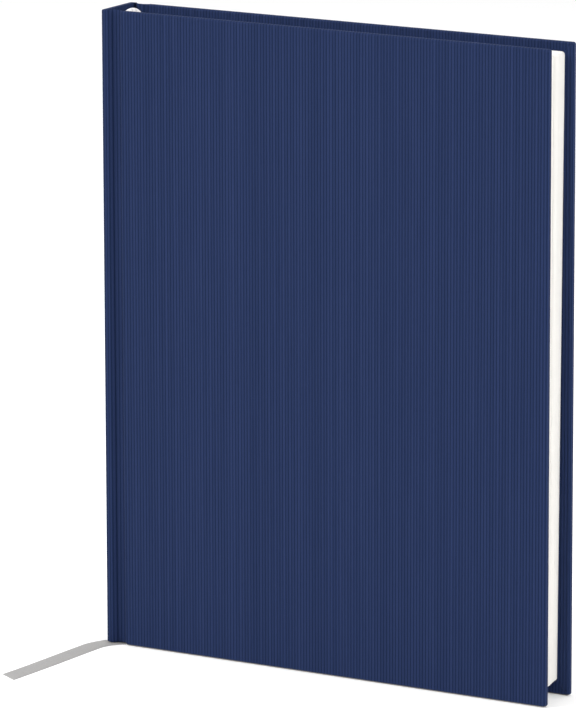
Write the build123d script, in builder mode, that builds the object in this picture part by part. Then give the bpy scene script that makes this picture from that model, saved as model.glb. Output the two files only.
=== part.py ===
# Case-bound logbook standing on its tail: two hinged cover boards on a hollow square back,
# and a sewn block of eight sections whose leaves fan open with the covers.
# Millimetres. +Z runs from tail to head, +X from the spine to the fore-edge,
# and +Y from the front cover to the back cover. The origin is the middle of the book's foot.
from build123d import *
import os
from math import tan, radians

# overall size of the case
cover_height = 240.0
cover_width = 186.0

# sheet materials
board_thickness = 2.0
cloth_thickness = 0.25
paper_thickness = 0.15
mull_thickness = 0.15
lining_thickness = 0.2

# text block
section_count = 8
section_thickness = 1.7
leaf_gap = 0.12
square = 3.5               # how far the boards stand out past the leaves
gutter_depth = 8.0         # from a section's fold to the line where its leaves bend
fold_gap = 0.2             # between a fold strip and its turning leaves
fold_rounding = 0.5
leaf_corner = 1.2

# case
spine_board_thickness = 2.0
hollow = 0.6               # air between the spine board and the block's lining
joint_width = 6.75         # cloth between the spine board and a cover board
joint_clearance = 0.5      # between the pressed joint and the block's first leaf
joint_end_gap = 0.1        # between the joint cloth and the cover that swings on it
turn_in = 15.0
case_corner = 1.0          # rounding at the fore-edge corners of the boards
edge_rounding = 0.6
mull_flange_width = 20.0
hinge_clearance = 0.2      # how far the hinge line stands off the cover's outer face

# sewing and headbands
thread_diameter = 0.4
thread_gap = 0.05
thread_stations = 6
station_margin = 22.0      # from the block's head or tail to the first station
band_inset = 1.9           # from the folds' backs to the band's bead
band_depth = 2.2           # of the bead, along the leaves
band_end_gap = 1.6         # between the outer sections' faces and the bead's ends
band_rise = 3.1            # crown of the bead above the leaves
band_shoulder = 0.6        # its height at the two outer sections
band_rounding = 0.8
band_step = 0.02           # between the band and the leaves it sits on
skirt_height = 8.0

# ribbon
ribbon_width = 8.0
ribbon_thickness = 0.25
ribbon_clearance = 0.25    # under the spine, above the ribbon that leaves there
ribbon_band_gap = 0.3      # between the headband and the ribbon's near edge
ribbon_head_gap = 0.5
ribbon_bend = 2.0
ribbon_toe = 0.6           # flat end of the inner stretch, after its bend
ribbon_meeting = (0.2, -1.0)    # from the inner stretch's last near corner to the loose stretch
ribbon_slant = -26.0       # degrees, of the cut end
# loose stretch on the floor, from the front board's spine edge and outer face
ribbon_route = [
    (-10.3, 0.5),
    (-11.4, -16.0),
    (-12.3, -37.0),
    (-14.1, -60.0),
]

# stack through the thickness, front half, from the outer face inwards
cover_thickness = board_thickness + 2 * cloth_thickness
inner_face = cover_thickness + paper_thickness
joint_dip = inner_face - cloth_thickness - joint_clearance
ribbon_slot = ribbon_thickness + 2 * leaf_gap
half_sections = section_count // 2
half_block = half_sections * section_thickness + (half_sections - 1) * leaf_gap + ribbon_slot / 2
half_thickness = inner_face + leaf_gap + paper_thickness + leaf_gap + half_block
front_y = -half_thickness

# stack from the spine's outer face towards the fore-edge
spine_x = -cover_width / 2
spine_inner_x = spine_x + cloth_thickness + spine_board_thickness
lining_x = spine_inner_x + hollow
mull_x = lining_x + lining_thickness
thread_x = mull_x + mull_thickness + thread_gap
fold_x = thread_x + thread_diameter + thread_gap
bend_x = fold_x + gutter_depth
board_x = spine_inner_x + joint_width
hinge_x = (spine_inner_x + board_x) / 2
hinge_y = front_y - hinge_clearance
fore_x = cover_width / 2
leaf_fore_x = fore_x - square
flyleaf_y = front_y + inner_face + leaf_gap

# heights
spine_foot = ribbon_thickness + ribbon_clearance
leaf_foot = square
leaf_head = cover_height - square
leaf_height = leaf_head - leaf_foot

parts = {}


# Label a finished piece and remember it for export.
def keep(name, builder):
    builder.part.label = name
    parts[name] = builder.part


# A plain block between two corners, added to the builder that is open.
def slab(x0, x1, y0, y1, z0, z1):
    with BuildSketch(Plane.XY.offset(z0)) as outline:
        with Locations(((x0 + x1) / 2, (y0 + y1) / 2)):
            Rectangle(x1 - x0, y1 - y0)
    extrude(outline.sketch, amount=z1 - z0)


# An upright panel facing -Y at y, its two fore-edge corners rounded.
def panel(x0, x1, z0, z1, y, thickness, corner, mode=Mode.ADD):
    with BuildSketch(Plane.XZ.offset(-y)) as outline:
        with Locations(((x0 + x1) / 2, (z0 + z1) / 2)):
            Rectangle(x1 - x0, z1 - z0)
        if corner:
            fillet(outline.vertices().group_by(Axis.X)[-1], corner)
    extrude(outline.sketch, amount=-thickness, mode=mode)


# The same piece on the back half of the book.
def mirrored(source):
    with BuildPart() as copy:
        add(source.part.mirror(Plane.XZ))
    return copy


# Board, its covering with turn-ins, the pasted endpaper and the mull's flange.
def make_cover():
    board_y = front_y + cloth_thickness
    edge_x = fore_x - cloth_thickness
    foot = cloth_thickness
    head = cover_height - cloth_thickness
    board_corner = case_corner - cloth_thickness

    with BuildPart() as board:
        panel(board_x, edge_x, foot, head, board_y, board_thickness, board_corner)

    with BuildPart() as covering:
        panel(board_x, fore_x, 0, cover_height, front_y, cover_thickness, case_corner)
        outer_rim = covering.faces().sort_by(Axis.Y)[0].edges().filter_by(
            lambda edge: edge.center().X > board_x + edge_rounding)
        fillet(outer_rim, edge_rounding / 2)
        panel(board_x, edge_x, foot, head, board_y, board_thickness, board_corner,
              mode=Mode.SUBTRACT)
        panel(board_x, fore_x - turn_in, turn_in, cover_height - turn_in,
              board_y + board_thickness, cloth_thickness, 0, mode=Mode.SUBTRACT)

    with BuildPart() as pastedown:
        panel(board_x, leaf_fore_x, leaf_foot, leaf_head, front_y + cover_thickness,
              paper_thickness, leaf_corner)

    with BuildPart() as flange:
        panel(board_x, board_x + mull_flange_width, turn_in + leaf_gap,
              cover_height - turn_in - leaf_gap, board_y + board_thickness, mull_thickness, 0)

    sheets = {"board": board, "cover_cloth": covering, "pastedown": pastedown,
              "mull_flange": flange}
    for name, sheet in sheets.items():
        keep("front_" + name, sheet)
        keep("back_" + name, mirrored(sheet))


# Cloth pressed into the groove between spine and cover.
def make_joint_cloth():
    near_x = spine_inner_x
    far_x = board_x - joint_end_gap
    middle_x = (near_x + far_x) / 2
    with BuildPart() as joint:
        with BuildSketch(Plane.XY.offset(spine_foot)):
            with BuildLine():
                ThreePointArc((near_x, front_y), (middle_x, front_y + joint_dip),
                              (far_x, front_y))
                Line((far_x, front_y), (far_x, front_y + cloth_thickness))
                ThreePointArc((far_x, front_y + cloth_thickness),
                              (middle_x, front_y + joint_dip + cloth_thickness),
                              (near_x, front_y + cloth_thickness))
                Line((near_x, front_y + cloth_thickness), (near_x, front_y))
            make_face()
        extrude(amount=cover_height - spine_foot)
    keep("front_joint_cloth", joint)
    keep("back_joint_cloth", mirrored(joint))


# Spine board and the cloth that wraps its face, edges, head and foot.
def make_spine():
    board_foot = spine_foot + cloth_thickness
    board_head = cover_height - cloth_thickness
    near_x = spine_x + cloth_thickness
    half_width = half_thickness - cloth_thickness

    with BuildPart() as board:
        slab(near_x, spine_inner_x, -half_width, half_width, board_foot, board_head)
        fillet(board.edges().filter_by(Axis.Z).group_by(Axis.X)[0], edge_rounding)
    keep("spine_board", board)

    with BuildPart() as cloth:
        slab(spine_x, spine_inner_x, -half_thickness, half_thickness, spine_foot, cover_height)
        fillet(cloth.edges().filter_by(Axis.Z).group_by(Axis.X)[0],
               edge_rounding + cloth_thickness)
        add(board.part, mode=Mode.SUBTRACT)
    keep("spine_cloth", cloth)


# Front face of a section, counted from the front cover.
def section_face(index):
    first_y = flyleaf_y + paper_thickness + leaf_gap
    slot = ribbon_slot - leaf_gap if index >= half_sections else 0
    return first_y + index * (section_thickness + leaf_gap) + slot


# Sections of folded leaves: the sewn folds stay at the spine, the leaves turn.
def make_block():
    with BuildPart() as folds:
        for index in range(section_count):
            y = section_face(index)
            slab(fold_x, bend_x - fold_gap, y, y + section_thickness, leaf_foot, leaf_head)
        backs = folds.edges().filter_by(Axis.Z).group_by(Axis.X)[0]
        fillet(backs, fold_rounding)
    keep("section_folds", folds)

    for index in range(section_count):
        with BuildPart() as section:
            panel(bend_x, leaf_fore_x, leaf_foot, leaf_head, section_face(index),
                  section_thickness, leaf_corner)
        keep(f"section_{index + 1}", section)

    with BuildPart() as flyleaf:
        panel(bend_x, leaf_fore_x, leaf_foot, leaf_head, flyleaf_y, paper_thickness, leaf_corner)
    keep("front_flyleaf", flyleaf)
    keep("back_flyleaf", mirrored(flyleaf))


# Mull and paper lining glued down the block's back.
def make_backing():
    half_width = -section_face(0)
    with BuildPart() as mull:
        slab(mull_x, mull_x + mull_thickness, -half_width, half_width,
             leaf_foot + skirt_height, leaf_head - skirt_height)
    keep("mull", mull)
    with BuildPart() as lining:
        slab(lining_x, lining_x + lining_thickness, -half_width, half_width, leaf_foot, leaf_head)
    keep("spine_lining", lining)


# Link stitches across the folds, one cord at each sewing station.
def make_thread():
    half_width = -section_face(0) - section_thickness / 2
    first = leaf_foot + station_margin
    pitch = (leaf_height - 2 * station_margin) / (thread_stations - 1)
    centre_x = thread_x + thread_diameter / 2
    with BuildPart() as thread:
        for station in range(thread_stations):
            with BuildSketch(Plane.XZ.offset(half_width)):
                with Locations((centre_x, first + station * pitch)):
                    Circle(thread_diameter / 2)
            extrude(amount=-2 * half_width)
    keep("sewing_thread", thread)


# Arched band across the block's back corner with a skirt glued down its back.
def make_headbands():
    half_width = -section_face(0) - band_end_gap
    seat_z = leaf_head + band_step
    bead_x = fold_x + band_inset
    with BuildPart() as band:
        with BuildSketch(Plane.YZ.offset(bead_x)):
            with BuildLine():
                Polyline((-half_width, seat_z + band_shoulder), (-half_width, seat_z),
                         (half_width, seat_z), (half_width, seat_z + band_shoulder))
                ThreePointArc((half_width, seat_z + band_shoulder), (0, seat_z + band_rise),
                              (-half_width, seat_z + band_shoulder))
            make_face()
        extrude(amount=band_depth)
        crown = band.edges().filter_by(GeomType.CIRCLE)
        fillet(crown, band_rounding)
        slab(thread_x, bead_x, -half_width, half_width, seat_z, seat_z + band_shoulder)
        slab(thread_x, fold_x - thread_gap, -half_width, half_width,
             leaf_head - skirt_height, seat_z)
    keep("head_headband", band)
    with BuildPart() as tail_band:
        add(band.part.mirror(Plane.XY.offset(cover_height / 2)))
    keep("tail_headband", tail_band)


# Flat marker: down between the two middle sections, then out under the spine.
def make_ribbon():
    near_x = fold_x + band_inset + band_depth + ribbon_band_gap
    half = ribbon_thickness / 2
    bend_radius = ribbon_bend - half
    bend_y = -half - bend_radius
    toe_y = bend_y - ribbon_toe
    bend_z = ribbon_thickness + bend_radius
    with BuildPart() as marker:
        with BuildSketch(Plane.YZ.offset(near_x)):
            with BuildLine():
                Line((-half, bend_z), (-half, leaf_head - ribbon_head_gap))
                Line((-half, leaf_head - ribbon_head_gap), (half, leaf_head - ribbon_head_gap))
                Line((half, leaf_head - ribbon_head_gap), (half, bend_z))
                CenterArc((bend_y, bend_z), bend_radius + ribbon_thickness, 0, -90)
                Polyline((bend_y, 0), (toe_y, 0), (toe_y, ribbon_thickness),
                         (bend_y, ribbon_thickness))
                CenterArc((bend_y, bend_z), bend_radius, -90, 90)
            make_face()
        extrude(amount=ribbon_width)
    keep("ribbon_marker", marker)

    points = [Vector(near_x + ribbon_meeting[0], toe_y + ribbon_meeting[1], half)]
    points += [Vector(board_x + x, front_y + y, half) for x, y in ribbon_route]
    radii = bend_radii(points)
    print("ribbon bend radii:", [round(radius, 1) for radius in radii])
    with BuildPart() as tail:
        with BuildLine():
            path = FilletPolyline(*points, radius=radii)
        start = Plane(path @ 0, x_dir=(0, 0, 1), z_dir=path % 0)
        with BuildSketch(start):
            Rectangle(ribbon_thickness, ribbon_width)
        sweep(path=path)
        cut = (path % 1).rotate(Axis.Z, ribbon_slant)
        split(bisect_by=Plane(path @ 1, z_dir=cut), keep=Keep.BOTTOM)
    keep("ribbon_tail", tail)


# Fillet radius at each inner point: 0.45 of the shorter run over the tangent of half the turn.
def bend_radii(points):
    radii = []
    for before, here, after in zip(points, points[1:], points[2:]):
        run_in = here - before
        run_out = after - here
        turn = run_in.get_angle(run_out)
        radii.append(0.45 * min(run_in.length, run_out.length) / tan(radians(turn) / 2))
    return radii


make_cover()
make_joint_cloth()
make_spine()
make_block()
make_backing()
make_thread()
make_headbands()
make_ribbon()

os.makedirs("parts", exist_ok=True)
for name, part in parts.items():
    export_step(part, f"parts/{name}.step")
print("cover hinge line", round(hinge_x, 3), round(hinge_y, 3))
print("leaf bend line", round(bend_x, 3), round(flyleaf_y, 3))
print("thickness", round(2 * half_thickness, 3))
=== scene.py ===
# A case-bound logbook that stands on its tail on a pale floor, built around its CAD frame.
# Lengths are in metres. X runs from the spine to the fore-edge, Y from the front cover
# to the back cover, and Z up.
import math
import random

import bmesh
import bpy
from mathutils import Matrix, Vector


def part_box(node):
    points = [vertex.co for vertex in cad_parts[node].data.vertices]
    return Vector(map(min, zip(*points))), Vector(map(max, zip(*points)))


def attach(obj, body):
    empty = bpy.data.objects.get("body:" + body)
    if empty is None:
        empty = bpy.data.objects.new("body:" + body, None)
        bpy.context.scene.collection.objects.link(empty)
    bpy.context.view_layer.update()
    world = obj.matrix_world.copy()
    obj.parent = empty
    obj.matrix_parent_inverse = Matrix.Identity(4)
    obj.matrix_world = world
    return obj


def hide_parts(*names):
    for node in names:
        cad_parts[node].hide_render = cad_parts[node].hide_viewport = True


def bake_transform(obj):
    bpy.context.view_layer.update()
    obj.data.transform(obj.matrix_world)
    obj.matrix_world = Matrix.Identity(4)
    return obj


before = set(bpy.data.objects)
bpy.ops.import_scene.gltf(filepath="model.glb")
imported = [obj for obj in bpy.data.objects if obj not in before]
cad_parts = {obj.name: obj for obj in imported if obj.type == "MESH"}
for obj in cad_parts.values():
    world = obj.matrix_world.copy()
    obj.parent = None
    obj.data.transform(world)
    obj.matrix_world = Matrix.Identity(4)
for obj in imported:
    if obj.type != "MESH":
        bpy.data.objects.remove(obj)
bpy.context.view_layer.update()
random.seed(41)
mm = 0.001
root = "spine_and_folds"
sides = {"front": 1, "back": -1}

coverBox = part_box("front_cover_cloth")
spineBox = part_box("spine_cloth")
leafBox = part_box("section_1")
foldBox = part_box("section_folds")
frontY = coverBox[0].y
boardX = coverBox[0].x
foreX = coverBox[1].x
headZ = coverBox[1].z
coverDepth = coverBox[1].y - coverBox[0].y
spineInnerX = spineBox[1].x
spineFoot = spineBox[0].z
foldX = foldBox[0].x
bendX = leafBox[0].x
leafForeX = leafBox[1].x
leafFoot = leafBox[0].z
leafHead = leafBox[1].z
sectionDepth = leafBox[1].y - leafBox[0].y
print("frame loaded")


# camera
cameraSet = {
    "place": (1.0968, -1.9096, 0.5945),
    "turn": 30.32,           # degrees, from +Y towards -X
    "dip": 12.21,
    "roll": -0.16,           # about its own line of sight
    "lens": 312.2,
    "sensor": 36,
    "clip": (0.05, 20),
}


def makeCamera():
    data = bpy.data.cameras.new("camera")
    camera = bpy.data.objects.new("camera", data)
    bpy.context.scene.collection.objects.link(camera)
    data.lens = cameraSet["lens"]
    data.sensor_width = cameraSet["sensor"]
    data.clip_start, data.clip_end = cameraSet["clip"]
    turn = Matrix.Rotation(math.radians(cameraSet["turn"]), 4, "Z")
    tilt = Matrix.Rotation(math.radians(90 - cameraSet["dip"]), 4, "X")
    roll = Matrix.Rotation(math.radians(cameraSet["roll"]), 4, "Z")
    camera.matrix_world = Matrix.Translation(cameraSet["place"]) @ turn @ tilt @ roll
    bpy.context.scene.camera = camera


makeCamera()
print("camera placed")


# shader helpers
class Signal:
    # a socket that can be used in arithmetic
    def __init__(self, finish, socket):
        self.finish = finish
        self.socket = socket

    def math(self, operation, first, second=None):
        sockets = {0: first} if second is None else {0: first, 1: second}
        return self.finish.add("ShaderNodeMath", {"operation": operation}, sockets)

    def __add__(self, other):
        return self.math("ADD", self, other)

    def __radd__(self, other):
        return self.math("ADD", other, self)

    def __sub__(self, other):
        return self.math("SUBTRACT", self, other)

    def __rsub__(self, other):
        return self.math("SUBTRACT", other, self)

    def __mul__(self, other):
        return self.math("MULTIPLY", self, other)

    def __rmul__(self, other):
        return self.math("MULTIPLY", other, self)

    def __truediv__(self, other):
        return self.math("DIVIDE", self, other)

    def __lt__(self, other):
        return self.math("LESS_THAN", self, other)

    def __gt__(self, other):
        return self.math("GREATER_THAN", self, other)

    def __abs__(self):
        return self.math("ABSOLUTE", self)

    def fraction(self):
        return self.math("FRACT", self)

    def whole(self):
        return self.math("FLOOR", self)

    def wave(self):
        return self.math("SINE", self)

    def also(self, output):
        # another output of the same node
        return Signal(self.finish, self.socket.node.outputs[output])

    def threads(self, pitch):
        # 0 between two threads and 1 on their crowns, a pitch apart
        return abs((self * (math.pi / pitch)).wave())

    def ramp(self, start, end, low, high):
        sockets = {0: self, 1: start, 2: end, 3: low, 4: high}
        settings = {"interpolation_type": "SMOOTHSTEP"}
        return self.finish.add("ShaderNodeMapRange", settings, sockets)


class Finish:
    # a material with one Principled shader
    def __init__(self, name, roughness):
        self.material = bpy.data.materials.new(name)
        self.material.use_nodes = True
        self.tree = self.material.node_tree
        self.shader = self.tree.nodes["Principled BSDF"]
        self.plug(self.shader.inputs["Roughness"], roughness)

    def plug(self, socket, value):
        if isinstance(value, Signal):
            self.tree.links.new(value.socket, socket)
        elif hasattr(value, "__len__") and socket.type == "RGBA":
            socket.default_value = (*value[:3], 1)
        else:
            socket.default_value = value

    def add(self, kind, settings=None, sockets=None, output=0):
        node = self.tree.nodes.new(kind)
        for key, value in (settings or {}).items():
            setattr(node, key, value)
        for key, value in (sockets or {}).items():
            self.plug(node.inputs[key], value)
        return Signal(self, node.outputs[output])

    def lay(self):
        # distances over the cloth or leaf, in metres: across it, up it, and both at once
        place = self.add("ShaderNodeUVMap", {"uv_map": "lay"})
        across = self.add("ShaderNodeSeparateXYZ", None, {0: place})
        return across, across.also(1), place

    def solid(self):
        # places in the solid, in metres
        return self.add("ShaderNodeTexCoord", output=3)

    def noise(self, place, scale, detail=2.0):
        sockets = {"Vector": place, "Scale": scale, "Detail": detail, "Roughness": 0.55}
        return self.add("ShaderNodeTexNoise", None, sockets)

    def fibre(self, place, grain, detail=2.0):
        # grain is the noise's scale across, up and through
        settings = {"vector_type": "POINT"}
        sockets = {"Vector": place, "Scale": grain}
        return self.noise(self.add("ShaderNodeMapping", settings, sockets), 1.0, detail)

    def blend(self, amount, low, high):
        settings = {"data_type": "RGBA", "blend_type": "MIX"}
        return self.add("ShaderNodeMix", settings, {0: amount, 6: low, 7: high}, output=2)

    def relief(self, height, depth):
        sockets = {"Height": height, "Distance": depth, "Strength": 1.0}
        bump = self.add("ShaderNodeBump", None, sockets)
        self.plug(self.shader.inputs["Normal"], bump)

    def gloss(self, values):
        for name, value in values.items():
            self.plug(self.shader.inputs[name], value)

    def color(self, signal):
        self.plug(self.shader.inputs["Base Color"], signal)

    def rough(self, signal):
        self.plug(self.shader.inputs["Roughness"], signal)


# materials
clothLook = {
    # the darker colour is the cloth with painted shade between the ribs, the lighter one the
    # cloth with painted light on their crowns
    "shadedValley": (0.0065, 0.0150, 0.0490),
    "rib": (0.0205, 0.0345, 0.0990),
    "ribPitch": 1.25 * mm,
    "ribDepth": 0.15 * mm,
    "ribEdges": (0.05, 0.85),    # where a rib's rounding starts and ends
    "ribTone": 0.72,         # how much lighter a rib's crown is than its valley: painted light on the crown, painted shade in the valley
    "ribDiffers": 0.24,      # from one rib to the next
    "streaks": 0.38,         # along each rib
    "streakGrain": (800, 22, 1),
    "clouds": 0.06,
    "cloudScale": 14.0,
    "fibres": 0.35,
    "fibreGrain": (5200, 900, 1),
    "darker": 0.08,
    "roughness": 0.60,
    "roughSpread": 0.3,
    "gloss": {
        "Specular IOR Level": 0.06,
        "Sheen Weight": 0.05,
        "Sheen Roughness": 0.35,
        "Sheen Tint": (0.62, 0.72, 1.0),
    },
}


def ribbedCloth():
    look = clothLook
    finish = Finish("ribbedCloth", look["roughness"])
    across, _, place = finish.lay()
    phase = across / look["ribPitch"]
    # each rib is a rounded cord with a narrow valley at either side, its crown painted lighter
    # and its valleys painted darker as light and shade
    crown = abs((phase * math.pi).wave()).ramp(*look["ribEdges"], 0.0, 1.0)
    # one rib differs from the next, and a little along its own length
    ribTone = finish.add("ShaderNodeTexWhiteNoise", {"noise_dimensions": "1D"},
                         {"W": phase.whole()})
    streak = finish.fibre(place, look["streakGrain"])
    cloud = finish.noise(place, look["cloudScale"], 3.0)
    fibre = finish.fibre(place, look["fibreGrain"])
    # the crown term paints light on the ribs' crowns and shade in their valleys; the other terms
    # are the cloth's own tone
    tone = crown * look["ribTone"] + (ribTone - 0.5) * look["ribDiffers"]
    tone = tone + (streak - 0.5) * look["streaks"] + (cloud - 0.5) * look["clouds"]
    tone = tone + (fibre - 0.5) * look["fibres"] - look["darker"]
    finish.color(finish.blend(tone, look["shadedValley"], look["rib"]))
    finish.rough(look["roughness"] + (fibre - 0.5) * look["roughSpread"])
    finish.relief(crown + (fibre - 0.5) * look["fibres"], look["ribDepth"])
    finish.gloss(look["gloss"])
    return finish.material


paperLook = {
    "sheet": (0.885, 0.870, 0.838),
    "shade": (0.845, 0.826, 0.788),
    "shadeShare": 0.3,
    "roughness": 0.86,
    "fibres": 0.8,
    "fibreGrain": (900, 1500, 1),
    "fibreDepth": 0.02 * mm,
    "clouds": 0.5,
    "cloudScale": 30.0,
    "ink": (0.50, 0.58, 0.62),
    "inkStrength": 0.55,
    "rowPitch": 9.0 * mm,
    "columnPitch": 17.0 * mm,
    "lineWidth": 0.28 * mm,
    "margin": 12.0 * mm,
}


def gridLines(place, pitch, width):
    # 1 on thin lines a pitch apart
    return (place / pitch).fraction() < width / pitch


def inside(value, low, high):
    return (value > low) * (value < high)


def paper(name, ruled):
    look = paperLook
    finish = Finish(name, look["roughness"])
    across, up, place = finish.lay()
    fibre = finish.fibre(place, look["fibreGrain"], 4.0)
    cloud = finish.noise(place, look["cloudScale"])
    tone = (fibre - 0.5) * look["fibres"] + (cloud - 0.5) * look["clouds"]
    tone = tone + look["shadeShare"]
    shade = finish.blend(tone, look["sheet"], look["shade"])
    if ruled:
        margin = look["margin"]
        field = inside(across, 2 * margin, leafForeX - foldX - margin)
        field = field * inside(up, leafFoot + margin, leafHead - 2 * margin)
        rows = gridLines(up, look["rowPitch"], look["lineWidth"])
        columns = gridLines(across, look["columnPitch"], look["lineWidth"])
        ink = finish.add("ShaderNodeMapRange", {"clamp": True},
                         {0: (rows + columns) * field, 3: 0.0, 4: look["inkStrength"]})
        shade = finish.blend(ink, shade, look["ink"])
    finish.color(shade)
    finish.relief(fibre, look["fibreDepth"])
    return finish.material


boardLook = {
    "color": (0.30, 0.275, 0.24),
    "fleck": (0.20, 0.18, 0.155),
    "grain": (700, 700, 300),
    "roughness": 0.9,
    "depth": 0.05 * mm,
}
kraftLook = {
    "color": (0.44, 0.32, 0.20),
    "fleck": (0.33, 0.23, 0.14),
    "grain": (500, 500, 1400),
    "roughness": 0.85,
    "depth": 0.03 * mm,
}


def pulp(name, look):
    finish = Finish(name, look["roughness"])
    fibre = finish.fibre(finish.solid(), look["grain"], 4.0)
    finish.color(finish.blend(fibre, look["color"], look["fleck"]))
    finish.relief(fibre, look["depth"])
    return finish.material


mullLook = {
    "thread": (0.78, 0.75, 0.68),
    "shadedGap": (0.45, 0.40, 0.33),
    "pitch": 0.9 * mm,
    "depth": 0.05 * mm,
    "roughness": 0.85,
}
sewingLook = {
    "thread": (0.85, 0.83, 0.78),
    "shadedGap": (0.60, 0.58, 0.52),
    "pitch": 0.25 * mm,
    "depth": 0.05 * mm,
    "roughness": 0.85,
}


def openWeave(name, look):
    # two sets of threads that cross, darker between them with painted shade
    finish = Finish(name, look["roughness"])
    x = finish.add("ShaderNodeSeparateXYZ", None, {0: finish.solid()})
    weft = x.also(2).threads(look["pitch"])
    warp = (x.also(1) + x).threads(look["pitch"])
    thread = finish.add("ShaderNodeMath", {"operation": "MAXIMUM"}, {0: weft, 1: warp})
    # the darker colour between the threads is painted shade
    finish.color(finish.blend(thread, look["shadedGap"], look["thread"]))
    finish.relief(thread, look["depth"])
    return finish.material


bandLook = {
    "white": (0.80, 0.79, 0.80),
    "stroke": (0.52, 0.51, 0.53),
    "strokePitch": 2.6 * mm,
    "strokeEdges": (0.12, 0.28),
    "strokeTone": 0.55,
    "slant": 0.3,
    "threadPitch": 0.55 * mm,
    "threadDepth": 0.12 * mm,
    "fibreGrain": (4000, 1500, 1),
    "fibreTone": 0.2,
    "fibreRelief": 0.3,
    "roughness": 0.7,
}


def wovenBand():
    look = bandLook
    finish = Finish("wovenBand", look["roughness"])
    across, up, place = finish.lay()
    stroke = ((across + up * look["slant"]) / look["strokePitch"]).fraction()
    soft = abs(stroke - 0.5).ramp(*look["strokeEdges"], look["strokeTone"], 0.0)
    fibre = finish.fibre(place, look["fibreGrain"])
    tone = soft + (fibre - 0.5) * look["fibreTone"]
    finish.color(finish.blend(tone, look["white"], look["stroke"]))
    thread = across.threads(look["threadPitch"])
    finish.relief(thread + fibre * look["fibreRelief"], look["threadDepth"])
    return finish.material


ribbonLook = {
    "light": (0.405, 0.397, 0.391),
    "dark": (0.29, 0.283, 0.278),
    "ridgePitch": 0.42 * mm,
    "ridgeDepth": 0.04 * mm,
    "ridges": 0.35,
    "selvage": 0.5 * mm,
    "selvageTone": 0.5,
    "fibres": 0.5,
    "fibreGrain": (9000, 500, 1),
    "fibreRelief": 0.4,
    "clouds": 0.5,
    "cloudScale": 60.0,
    "roughness": 0.45,
    "roughSpread": 0.3,
}


def satinRibbon():
    look = ribbonLook
    finish = Finish("satinRibbon", look["roughness"])
    across, up, place = finish.lay()
    ridge = up.threads(look["ridgePitch"])
    fibre = finish.fibre(place, look["fibreGrain"])
    cloud = finish.noise(place, look["cloudScale"])
    half = ribbonSet["width"] / 2
    rim = abs(across).ramp(half - look["selvage"], half, 0.0, look["selvageTone"])
    tone = ridge * look["ridges"] + (fibre - 0.5) * look["fibres"]
    tone = tone + (cloud - 0.5) * look["clouds"] + rim
    finish.color(finish.blend(tone, look["light"], look["dark"]))
    finish.rough(look["roughness"] + (fibre - 0.5) * look["roughSpread"])
    finish.relief(ridge + fibre * look["fibreRelief"] + rim, look["ridgeDepth"])
    return finish.material


# mesh helpers
sharpAngle = math.radians(38)
nearby = 1e-6                # two mesh points closer than this are one


def newPiece(name, mesh, material, smooth=True):
    piece = bpy.data.objects.new(name, mesh)
    bpy.context.scene.collection.objects.link(piece)
    mesh.materials.append(material)
    if smooth:
        mesh.polygons.foreach_set("use_smooth", [True] * len(mesh.polygons))
        mesh.set_sharp_from_angle(angle=sharpAngle)
    return piece


def evenShading(piece):
    # large flat faces keep their own shading right up to the rounded edges
    evened = piece.modifiers.new("evenShading", "WEIGHTED_NORMAL")
    evened.weight = 100
    evened.keep_sharp = True


def meshFrom(name, points, faces, lays):
    # lays holds each point's distances over the sheet, kept as the "lay" map
    mesh = bpy.data.meshes.new(name)
    mesh.from_pydata(points, [], faces)
    layer = mesh.uv_layers.new(name="lay")
    for loop in mesh.loops:
        layer.data[loop.index].uv = lays[loop.vertex_index]
    mesh.validate()
    return mesh


def tube(rows, size):
    # faces between rows of points, each row a closed ring
    faces = []
    for row in range(rows):
        for k in range(size):
            a = row * size + k
            b = row * size + (k + 1) % size
            faces.append((a, b, b + size, a + size))
    return faces


def sheet(name, columns, thickness, steps=0):
    # Closed sheet through upright columns. A column is (x, y, along, low, high), and the
    # sheet's body lies to the left of the way the columns run. thickness may be a list, one
    # for each column. steps rounds head and foot.
    depths = thickness if isinstance(thickness, list) else [thickness] * len(columns)
    points, lays = [], []
    size = 0
    for number, (x, y, along, low, high) in enumerate(columns):
        depth = depths[number]
        before = columns[max(number - 1, 0)]
        after = columns[min(number + 1, len(columns) - 1)]
        heading = Vector((after[0] - before[0], after[1] - before[1])).normalized()
        inward = Vector((-heading.y, heading.x))
        half = depth / 2
        if steps:
            ring = [(0, low + half), (0, high - half)]
            turns = [math.pi * (step + 0.5) / steps for step in range(steps)]
            ring += [(half - half * math.cos(a), high - half + half * math.sin(a)) for a in turns]
            ring += [(depth, high - half), (depth, low + half)]
            ring += [(half + half * math.cos(a), low + half - half * math.sin(a)) for a in turns]
        else:
            ring = [(0, low), (0, high), (depth, high), (depth, low)]
        size = len(ring)
        points += [(x + inward.x * d, y + inward.y * d, z) for d, z in ring]
        lays += [(along, z) for d, z in ring]
    faces = tube(len(columns) - 1, size)
    faces.append(tuple(range(size))[::-1])
    last = (len(columns) - 1) * size
    faces.append(tuple(last + k for k in range(size)))
    return meshFrom(name, points, faces, lays)


def facing(mesh):
    work = bmesh.new()
    work.from_mesh(mesh)
    bmesh.ops.recalc_face_normals(work, faces=work.faces)
    work.to_mesh(mesh)
    work.free()


def measured(line, low, high):
    # columns from a line of (x, y), with the distance run along it
    columns = []
    run = 0.0
    for number, (x, y) in enumerate(line):
        if number:
            run += math.dist(line[number - 1], (x, y))
        columns.append((x, y, run, low, high))
    return columns


def easeStep(t):
    return t * t * (3 - 2 * t)


def arc(start, end, steps):
    return [start + (end - start) * step / steps for step in range(steps + 1)]


def cornerInsets(radius, steps):
    # (distance back from the fore-edge, height taken off) round a corner
    angles = arc(0, math.pi / 2, steps)
    return [(radius * (1 - math.sin(a)), radius * (1 - math.cos(a))) for a in angles]


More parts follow.
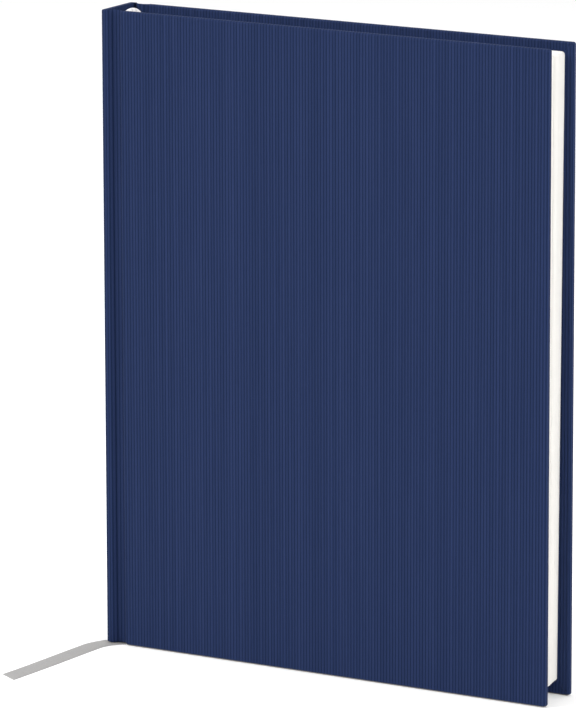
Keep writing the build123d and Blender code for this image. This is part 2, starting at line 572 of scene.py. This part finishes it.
def trimmed(columns, insets):
    # the last columns, cut to a rounded corner at head and foot
    kept = columns[:-len(insets)]
    for (x, y, run, low, high), (back, cut) in zip(columns[-len(insets):], insets):
        kept.append((x, y, run, low + cut, high - cut))
    return kept


def clamped(value):
    return min(max(value, 0.0), 1.0)


# the case
caseSet = {
    "cloth": 0.25 * mm,
    "edgeRound": 0.75 * mm,
    "corner": 1.0 * mm,
    "foot": 0.24 * mm,       # the ribbon passes under the cover as it swings
    "turnIn": 15 * mm,
    "mitreDip": 0.12 * mm,
    "arcSteps": 6,
}


def edgeSection():
    # Over a board's edge: how far in from the edge, how deep below the face, and how far
    # the cloth has run past the edge.
    bend = caseSet["edgeRound"]
    section = [(caseSet["turnIn"] / 2, 0.0)]
    for a in arc(0, math.pi / 2, caseSet["arcSteps"]):
        section.append((bend * (1 - math.sin(a)), bend * (1 - math.cos(a))))
    for a in arc(0, math.pi / 2, caseSet["arcSteps"]):
        section.append((bend * (1 - math.cos(a)), coverDepth - bend * (1 - math.sin(a))))
    section.append((caseSet["turnIn"], coverDepth))
    past = [-section[0][0]]
    for one, two in zip(section, section[1:]):
        past.append(past[-1] + math.dist(one, two))
    return [(inset, deep, beyond) for (inset, deep), beyond in zip(section, past)]


def edgeStations():
    # Round the head, fore-edge and tail: the corner's centre, the way out, and which way
    # the mitre goes.
    corner = caseSet["corner"]
    footZ = corner + caseSet["foot"]
    stations = [(boardX, headZ - corner, 0.0, 1.0, None)]
    for z, low, high, up in ((headZ - corner, 90, 0, 1), (footZ, 0, -90, -1)):
        for a in arc(math.radians(low), math.radians(high), caseSet["arcSteps"]):
            stations.append((foreX - corner, z, math.cos(a), math.sin(a), up))
    stations.append((boardX, footZ, 0.0, -1.0, None))
    return stations


def coverShell(side):
    # The board's covering: a rounded plate with turn-ins, open inside and along the joint.
    s = sides[side]
    corner = caseSet["corner"]
    section = edgeSection()
    points, lays, rings = [], [], []
    for cx, cz, nx, nz, up in edgeStations():
        ring = []
        for inset, deep, beyond in section:
            reach = corner - inset
            if up is None or reach > 0:
                x, z = cx + nx * reach, cz + nz * reach
            else:
                x, z = cx + reach, cz + up * reach
            if up and deep == coverDepth and inset > corner:
                deep -= caseSet["mitreDip"]
            ring.append(len(points))
            points.append((x, s * (frontY + deep), z))
            flat = deep == 0
            lays.append((x if flat or abs(nx) < 0.01 else cx + nx * (corner + beyond),
                         z if flat or abs(nz) < 0.01 else cz + nz * (corner + beyond)))
        rings.append(ring)
    faces = []
    for one, two in zip(rings, rings[1:]):
        for k in range(len(section) - 1):
            faces.append((one[k], one[k + 1], two[k + 1], two[k]))
    faces.append(tuple(ring[0] for ring in rings))
    mesh = meshFrom(side + "CoverCloth", points, faces, lays)
    work = bmesh.new()
    work.from_mesh(mesh)
    bmesh.ops.remove_doubles(work, verts=work.verts, dist=nearby)
    bmesh.ops.dissolve_degenerate(work, dist=nearby / 10, edges=work.edges)
    bmesh.ops.recalc_face_normals(work, faces=work.faces)
    outer = max(work.faces, key=lambda face: face.calc_area())
    if outer.normal.y * s > 0:
        bmesh.ops.reverse_faces(work, faces=work.faces)
    work.to_mesh(mesh)
    work.free()
    piece = newPiece(side + "CoverCloth", mesh, clothMaterial)
    skin = piece.modifiers.new("skin", "SOLIDIFY")
    skin.thickness = caseSet["cloth"]
    skin.offset = -1
    evenShading(piece)
    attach(piece, side + "_cover")
    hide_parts(side + "_cover_cloth")


jointSet = {
    "depth": 2.0 * mm,
    "cloth": 0.42 * mm,
    "flat": 0.24,            # share of the joint that is its flat bottom
    "boardSteeper": 1.12,    # the board's edge is steeper than the spine's
    "backedFrom": 0.60,      # share of the joint where its padding starts
    "backedOver": 0.16,
    "steps": 36,
    "rimSteps": 4,
}


def jointCloth(side):
    # The cloth pressed down between spine and board.
    s = sides[side]
    steps = jointSet["steps"]
    slope = (1 - jointSet["flat"]) / 2
    width = boardX - spineInnerX
    line, padding = [], []
    for step in range(steps + 1):
        t = step / steps
        drop = easeStep(clamped(min(t, 1 - t) / slope))
        if t > 0.5:
            drop = min(1.0, drop * jointSet["boardSteeper"])
        y = frontY + jointSet["depth"] * drop
        line.append((spineInnerX + width * t, y))
        # towards the board it is backed by turn-in and paper, level with the board's inside
        backed = easeStep(clamped((t - jointSet["backedFrom"]) / jointSet["backedOver"]))
        room = frontY + coverDepth - caseSet["cloth"] - y - jointSet["cloth"]
        padding.append(jointSet["cloth"] + max(room, 0.0) * backed)
    columns = measured(line, spineFoot, headZ)
    spread = columns[-1][2]
    columns = [(x, s * y, spineInnerX + run * width / spread, low, high)
               for x, y, run, low, high in columns]
    if s < 0:
        columns.reverse()
        padding.reverse()
    mesh = sheet(side + "JointCloth", columns, padding, jointSet["rimSteps"])
    facing(mesh)
    piece = newPiece(side + "JointCloth", mesh, clothMaterial)
    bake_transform(piece)
    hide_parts(side + "_joint_cloth")


spineSet = {
    "lap": 0.04 * mm,        # the cloth turned in over the spine board's inner face
    "edgeRound": 0.95 * mm,
    "edgeSteps": 6,
    "endRound": 0.5 * mm,
    "endSteps": 4,
}


def spineCloth():
    # A rounded plate that takes in the spine board.
    low = spineBox[0].copy()
    high = spineBox[1].copy()
    high.x += spineSet["lap"]
    mesh = bpy.data.meshes.new("spineCloth")
    work = bmesh.new()
    bmesh.ops.create_cube(work, size=1.0)
    for point in work.verts:
        point.co = Vector((low[k] if point.co[k] < 0 else high[k] for k in range(3)))

    def isInner(edge):
        return all(abs(v.co.x - high.x) < nearby for v in edge.verts)

    def climb(edge):
        return abs(edge.verts[0].co.z - edge.verts[1].co.z)

    def isRim(edge):
        # where an end face meets a side face
        steep = [abs(face.normal.z) for face in edge.link_faces]
        return (climb(edge) < nearby and len(steep) == 2 and min(steep) < 0.5 < max(steep)
                and not isInner(edge))

    uprights = [e for e in work.edges if not isInner(e) and climb(e) > headZ / 2]
    bmesh.ops.bevel(work, geom=uprights, offset=spineSet["edgeRound"],
                    segments=spineSet["edgeSteps"], affect="EDGES", profile=0.5)
    rims = [e for e in work.edges if isRim(e)]
    bmesh.ops.bevel(work, geom=rims, offset=spineSet["endRound"],
                    segments=spineSet["endSteps"], affect="EDGES", profile=0.5)
    bmesh.ops.recalc_face_normals(work, faces=work.faces)
    layer = work.loops.layers.uv.new("lay")
    for face in work.faces:
        for loop in face.loops:
            co = loop.vert.co
            inwards = co.x - low.x
            loop[layer].uv = (co.y + (inwards if co.y > 0 else -inwards), co.z)
    work.to_mesh(mesh)
    work.free()
    piece = newPiece("spineCloth", mesh, clothMaterial)
    evenShading(piece)
    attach(piece, root)
    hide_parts("spine_cloth")


# leaves in general: close steps near the folds, and rounded corners
leafSet = {
    "corner": 1.2 * mm,
    "cornerSteps": 4,
    "bend": 7 * mm,          # how far past the bend line the even steps run
    "bendSteps": 14,
    "lead": 0.2 * mm,        # the last point before the bend line
    "flatShares": (0.3, 0.6, 0.85),
}
cornerCuts = cornerInsets(leafSet["corner"], leafSet["cornerSteps"])


def leafColumns(first, y, low, high, last):
    # even steps from the bend line, then wider ones to the fore-edge
    xs = [first, bendX - leafSet["lead"]]
    xs += arc(bendX, bendX + leafSet["bend"], leafSet["bendSteps"])
    xs += [bendX + (last - bendX) * share for share in leafSet["flatShares"]]
    xs += [last - back for back, cut in cornerCuts]
    return trimmed(measured([(x, y) for x in xs], low, high), cornerCuts)


def flipped(columns, s):
    # the same columns on the back half, run the other way so that the sheet keeps its side
    if s > 0:
        return columns
    return [(x, -y, run, low, high) for x, y, run, low, high in reversed(columns)]


# endpapers
endpaperSet = {
    "leaf": 0.12 * mm,
    "start": 0.25 * mm,      # from the folds' backs
    "hold": 0.3 * mm,        # held to the block before it bends
    "overBoard": 2 * mm,     # even steps end here, past the board's edge
    "steps": 22,
}


def endpapers(side):
    s = sides[side]
    share = 0 if s > 0 else 1
    low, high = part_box("front_pastedown")
    first = foldX + endpaperSet["start"]
    xs = arc(first, boardX + endpaperSet["overBoard"], endpaperSet["steps"])
    xs += [high.x - back for back, cut in cornerCuts]
    columns = trimmed(measured([(x, low.y) for x in xs], low.z, high.z), cornerCuts)
    mesh = sheet(side + "Pastedown", flipped(columns, s), high.y - low.y)
    slipped(mesh, share)
    facing(mesh)
    pasted = newPiece(side + "Pastedown", mesh, endpaperMaterial)
    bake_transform(pasted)
    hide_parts(side + "_pastedown")

    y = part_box("front_flyleaf")[0].y
    columns = leafColumns(first, y, leafFoot, leafHead, leafForeX)
    mesh = sheet(side + "Flyleaf", flipped(columns, s), endpaperSet["leaf"])
    slipped(mesh, share)
    facing(mesh)
    free = newPiece(side + "Flyleaf", mesh, endpaperMaterial)
    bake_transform(free)
    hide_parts(side + "_flyleaf")


# the block: each section is a pack of folded sheets, one inside the next
sectionSet = {
    "count": 8,
    "sheets": 7,             # folded sheets in a section
    "leaf": 0.095 * mm,
    "tightest": 0.01 * mm,   # radius of the innermost fold
    # the standing block has slipped: its tail has risen at the fore-edge and is drawn in,
    # first at the front section, then at the back one
    "tailRise": (0.3 * mm, 1.7 * mm),
    "tailDraw": (0.0 * mm, 1.5 * mm),
    "foreScatter": 0.14 * mm,
    "headScatter": 0.09 * mm,
    "arcSteps": 8,
}


def slipped(mesh, share):
    # share runs from the front leaves to the back ones
    def part(pair):
        return pair[0] + (pair[1] - pair[0]) * share

    rise = part(sectionSet["tailRise"])
    draw = part(sectionSet["tailDraw"])
    for point in mesh.vertices:
        low = (leafHead - point.co.z) / (leafHead - leafFoot)
        out = clamped((point.co.x - bendX) / (leafForeX - bendX))
        point.co.x -= draw * low * out
        point.co.z += rise * low * out


def foldedSheet(centreY, radius, reach, low, high):
    # out along one leaf, round the fold, back along the other
    steps = sectionSet["arcSteps"]
    middle = radius + sectionSet["leaf"] / 2
    foldCentre = foldX + sectionDepth / 2
    leaf = leafColumns(foldCentre, 0, low, high, leafForeX - reach)
    near = [(x, centreY - middle, run, z0, z1) for x, y, run, z0, z1 in reversed(leaf)]
    far = [(x, centreY + middle, run, z0, z1) for x, y, run, z0, z1 in leaf]
    turn = []
    for a in arc(-math.pi / 2, -math.pi * 3 / 2, steps)[1:-1]:
        turn.append((foldCentre + middle * math.cos(a), centreY + middle * math.sin(a),
                     0.0, low, high))
    return near + turn + far


def makeSection(number):
    low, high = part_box(f"section_{number}")
    centreY = (low.y + high.y) / 2
    pitch = sectionDepth / (2 * sectionSet["sheets"])
    points, faces, lays = [], [], []
    for k in range(sectionSet["sheets"]):
        radius = (k + 0.5) * pitch - sectionSet["leaf"] / 2
        reach = random.uniform(0, sectionSet["foreScatter"])
        drop = random.uniform(0, sectionSet["headScatter"])
        rise = random.uniform(0, sectionSet["headScatter"])
        columns = foldedSheet(centreY, max(radius, sectionSet["tightest"]), reach,
                              leafFoot + rise, leafHead - drop)
        columns.reverse()
        part = sheet("leaf", columns, sectionSet["leaf"])
        base = len(points)
        points += [tuple(v.co) for v in part.vertices]
        uv = [None] * len(part.vertices)
        for loop in part.loops:
            uv[loop.vertex_index] = tuple(part.uv_layers["lay"].data[loop.index].uv)
        lays += uv
        faces += [tuple(base + i for i in polygon.vertices) for polygon in part.polygons]
        bpy.data.meshes.remove(part)
    mesh = meshFrom(f"section{number}", points, faces, lays)
    slipped(mesh, (number - 1) / (sectionSet["count"] - 1))
    facing(mesh)
    piece = newPiece(f"section{number}", mesh, leafMaterial, smooth=False)
    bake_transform(piece)
    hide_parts(f"section_{number}", "section_folds")


# headbands
bandSet = {
    "depth": 2.2 * mm,       # of the bead, along the leaves
    "shoulder": 0.6 * mm,    # its height at its two ends
    "tape": 0.35 * mm,       # the band's tape, from the folds' backs to the bead
    "skirt": 8 * mm,
    "threads": 26,
    "threadDepth": 0.06 * mm,
    "fullness": 0.62,        # lower makes the arch's ends steeper
    "roundness": 0.6,        # the bead's radius at its ends, as a share of its height
    "glue": 0.03 * mm,       # between the tape and the folds' backs
    "arcSteps": 12,
}


def bandRing(low, high, height, swell):
    # the band's outline at one thread: (x, height over the leaves)
    depth = bandSet["depth"]
    inset = bandSet["threadDepth"] - swell
    skirt = bandSet["skirt"]
    middle = high.x - depth / 2
    backX = foldX - bandSet["glue"]
    radius = min(depth / 2, height * bandSet["roundness"])
    ring = [(backX, -skirt), (low.x, -skirt), (low.x, bandSet["tape"])]
    ring.append((middle - depth / 2, bandSet["tape"]))
    for a in arc(math.pi, 0, bandSet["arcSteps"]):
        ring.append((middle + (depth / 2 - inset) * math.cos(a),
                     height - radius + (radius - inset) * math.sin(a)))
    return ring + [(high.x - bandSet["threadDepth"], 0.0), (backX, 0.0)]


def headband(name, node, up):
    # An arched bead of thread on the leaves' ends, and its tape glued down the folds' backs.
    low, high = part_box(node)
    seat = leafHead if up > 0 else leafFoot
    rise = abs((high.z if up > 0 else low.z) - seat)
    half = (high.y - low.y) / 2
    shoulder = bandSet["shoulder"]
    points, lays = [], []
    rows = bandSet["threads"] * 2
    size = 0
    for row in range(rows + 1):
        t = row / rows * 2 - 1
        height = shoulder + (rise - shoulder) * max(0.0, 1 - t * t) ** bandSet["fullness"]
        ring = bandRing(low, high, height, bandSet["threadDepth"] * (row % 2))
        size = len(ring)
        run = 0.0
        for k, (x, z) in enumerate(ring):
            run += math.dist(ring[k - 1], (x, z)) if k else 0
            points.append((x, t * half, seat + up * z))
            lays.append((t * half, run))
    faces = tube(rows, size)
    faces.append(tuple(range(size)))
    faces.append(tuple(rows * size + k for k in range(size)))
    mesh = meshFrom(name, points, faces, lays)
    facing(mesh)
    piece = newPiece(name, mesh, bandMaterial)
    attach(piece, root)
    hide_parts(node)


# ribbon
ribbonSet = {
    "width": 8 * mm,
    "thickness": 0.18 * mm,
    "lift": 0.005 * mm,      # off the floor
    "lanes": 6,
    # the inner stretch turns forward at the floor
    "bend": 1.9 * mm,
    "bendSteps": 8,
    "innerSteps": 24,
    "toe": 2 * mm,
    # loose stretch, from the front board's spine edge and outer face, on the floor
    "route": [(-0.0103, 0.0005), (-0.0114, -0.016), (-0.0123, -0.037), (-0.0141, -0.060)],
    "meeting": (0.0002, -0.001),
    "slant": math.radians(26),
    "slantReach": 1.2,       # widths over which the lanes lengthen towards the cut
    "ripple": 0.08 * mm,
    "rippleFrom": 0.32,      # share of the length that lies flat first
    "rippleRate": 13,
}
floorZ = ribbonSet["thickness"] / 2 + ribbonSet["lift"]


def strip(name, spots):
    # A flat band through spots of (centre, sideways, upwards, along).
    width = ribbonSet["width"]
    thickness = ribbonSet["thickness"]
    lanes = ribbonSet["lanes"]
    points, lays, faces = [], [], []
    for centre, sideways, upwards, along in spots:
        for lift in (thickness / 2, -thickness / 2):
            for lane in range(lanes + 1):
                share = lane / lanes - 0.5
                points.append(tuple(centre + sideways * (width * share) + upwards * lift))
                lays.append((width * share, along))
    size = 2 * (lanes + 1)
    order = list(range(lanes + 1)) + list(range(size - 1, lanes, -1))
    for a, b, c, d in tube(len(spots) - 1, size):
        faces.append(tuple(i - i % size + order[i % size] for i in (a, b, c, d)))
    last = (len(spots) - 1) * size
    for lane in range(lanes):
        faces.append((lane, lane + 1, lanes + 2 + lane, lanes + 1 + lane))
        end = (lane, lanes + 1 + lane, lanes + 2 + lane, lane + 1)
        faces.append(tuple(last + k for k in end))
    mesh = meshFrom(name, points, faces, lays)
    facing(mesh)
    return mesh


def innerRibbon():
    # from the head down between the middle sections, then round to the floor
    low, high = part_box("ribbon_marker")
    centreX = (low.x + high.x) / 2
    bend = ribbonSet["bend"]
    sideways = Vector((1, 0, 0))
    spots = []
    for z in arc(high.z, floorZ + bend, ribbonSet["innerSteps"]):
        spots.append((Vector((centreX, 0, z)), sideways, Vector((0, 1, 0)), z))
    for a in arc(0, math.pi / 2, ribbonSet["bendSteps"])[1:]:
        back, down = 1 - math.cos(a), 1 - math.sin(a)
        centre = Vector((centreX, -bend * back, floorZ + bend * down))
        upwards = Vector((0, math.cos(a), math.sin(a)))
        spots.append((centre, sideways, upwards, floorZ + bend - a * bend))
    toe = Vector((centreX, low.y, floorZ))
    spots.append((toe, sideways, Vector((0, 0, 1)), -ribbonSet["toe"]))
    inner = newPiece("ribbonInPages", strip("ribbonInPages", spots), ribbonMaterial)
    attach(inner, root)
    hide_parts("ribbon_marker")


def routeLine(points):
    curve = bpy.data.curves.new("route", "CURVE")
    curve.dimensions = "3D"
    spline = curve.splines.new("NURBS")
    spline.points.add(len(points) - 1)
    for target, point in zip(spline.points, points):
        target.co = (*point, 1)
    spline.order_u = 3
    spline.use_endpoint_u = True
    spline.resolution_u = 16
    holder = bpy.data.objects.new("route", curve)
    bpy.context.scene.collection.objects.link(holder)
    mesh = bpy.data.meshes.new_from_object(holder)
    line = [v.co.copy() for v in mesh.vertices]
    bpy.data.objects.remove(holder)
    bpy.data.meshes.remove(mesh)
    return line


def headingOf(line, number):
    before = line[max(number - 1, 0)]
    after = line[min(number + 1, len(line) - 1)]
    heading = (after - before).normalized()
    return heading, Vector((-heading.y, heading.x, 0))


def slantedEnd(mesh, path):
    # the cut end: its lanes stop on a slanted line
    tip = path[-1]
    heading, sideways = headingOf(path, len(path) - 1)
    reach = ribbonSet["slantReach"] * ribbonSet["width"]
    for vertex in mesh.vertices:
        aside = (vertex.co - tip).dot(sideways)
        ahead = (vertex.co - tip).dot(heading)
        if ahead > -reach:
            share = 1 + ahead / reach
            vertex.co += heading * (aside * math.tan(ribbonSet["slant"]) * share)


def looseRibbon():
    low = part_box("ribbon_marker")[0]
    meetX, meetY = ribbonSet["meeting"]
    points = [Vector((low.x + meetX, low.y + meetY, floorZ))]
    points += [Vector((boardX + x, frontY + y, floorZ)) for x, y in ribbonSet["route"]]
    path = routeLine(points)
    total = sum((b - a).length for a, b in zip(path, path[1:]))
    spots = []
    along = 0.0
    for number, point in enumerate(path):
        if number:
            along += (point - path[number - 1]).length
        # it lies almost flat, with a slow ripple once it is clear of the book
        free = max(0.0, along / total - ribbonSet["rippleFrom"])
        lift = ribbonSet["ripple"] * free * (1 - math.cos(free * ribbonSet["rippleRate"]))
        if number == len(path) - 1:
            lift = 0.0
        sideways = headingOf(path, number)[1]
        spots.append((point + Vector((0, 0, lift)), sideways, Vector((0, 0, 1)), along))
    mesh = strip("ribbonLoose", spots)
    slantedEnd(mesh, path)
    loose = newPiece("ribbonLoose", mesh, ribbonMaterial)
    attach(loose, root)
    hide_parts("ribbon_tail")


# studio
studioSet = {
    "floor": (0.88, 0.88, 0.88),
    "glow": 0.17,            # a lit table, so that contact shadows stay faint
    "span": 6.0,             # from the middle to each side
    "drop": 0.02 * mm,       # the floor lies this far below the book's foot
    "sky": 0.36,
    "skyColor": (1.0, 1.0, 1.0),
    "aim": (0, 0, 0.12),
    "lights": {              # place, size, power
        "keyLight": ((-1.9, -1.9, 1.5), 0.9, 66),
        "sideLight": ((2.2, -0.7, 1.2), 1.2, 43),
        "topLight": ((-0.2, 0.3, 2.4), 1.6, 34),
    },
}


def makeFloor():
    mesh = bpy.data.meshes.new("floor")
    span = studioSet["span"]
    mesh.from_pydata([(-span, -span, 0), (span, -span, 0), (span, span, 0), (-span, span, 0)],
                     [], [(0, 1, 2, 3)])
    floor = bpy.data.objects.new("floor", mesh)
    bpy.context.scene.collection.objects.link(floor)
    floor.location.z = -studioSet["drop"]
    finish = Finish("paleFloor", 0.9)
    finish.gloss({
        "Base Color": studioSet["floor"],
        "Specular IOR Level": 0.1,
        "Emission Color": (1, 1, 1),
        "Emission Strength": studioSet["glow"],
    })
    mesh.materials.append(finish.material)


def makeStudio():
    makeFloor()
    world = bpy.data.worlds.new("studio")
    world.use_nodes = True
    backdrop = world.node_tree.nodes["Background"]
    backdrop.inputs["Color"].default_value = (*studioSet["skyColor"], 1)
    backdrop.inputs["Strength"].default_value = studioSet["sky"]
    bpy.context.scene.world = world
    bpy.context.scene.view_settings.view_transform = "Standard"
    for name, (place, size, power) in studioSet["lights"].items():
        data = bpy.data.lights.new(name, "AREA")
        data.size = size
        data.energy = power
        light = bpy.data.objects.new(name, data)
        bpy.context.scene.collection.objects.link(light)
        light.location = place
        aim = Vector(studioSet["aim"]) - Vector(place)
        light.rotation_euler = aim.to_track_quat("-Z", "Y").to_euler()


# making
clothMaterial = ribbedCloth()
endpaperMaterial = paper("endpaper", False)
leafMaterial = paper("leafPaper", True)
bandMaterial = wovenBand()
ribbonMaterial = satinRibbon()
print("materials made")

innerRibbon()
looseRibbon()
print("ribbon laid")

for side in sides:
    coverShell(side)
    jointCloth(side)
    endpapers(side)
spineCloth()
print("case covered")

for number in range(1, sectionSet["count"] + 1):
    makeSection(number)
headband("headHeadband", "head_headband", 1)
headband("tailHeadband", "tail_headband", -1)
print("block sewn")

carried = {
    pulp("greyBoard", boardLook): ("front_board", "back_board", "spine_board"),
    pulp("kraftPaper", kraftLook): ("spine_lining",),
    openWeave("mullCloth", mullLook): ("mull", "front_mull_flange", "back_mull_flange"),
    openWeave("waxedThread", sewingLook): ("sewing_thread",),
}
for material, names in carried.items():
    for name in names:
        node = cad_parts[name]
        node.data.materials.clear()
        node.data.materials.append(material)
print("hidden pieces finished")

makeStudio()
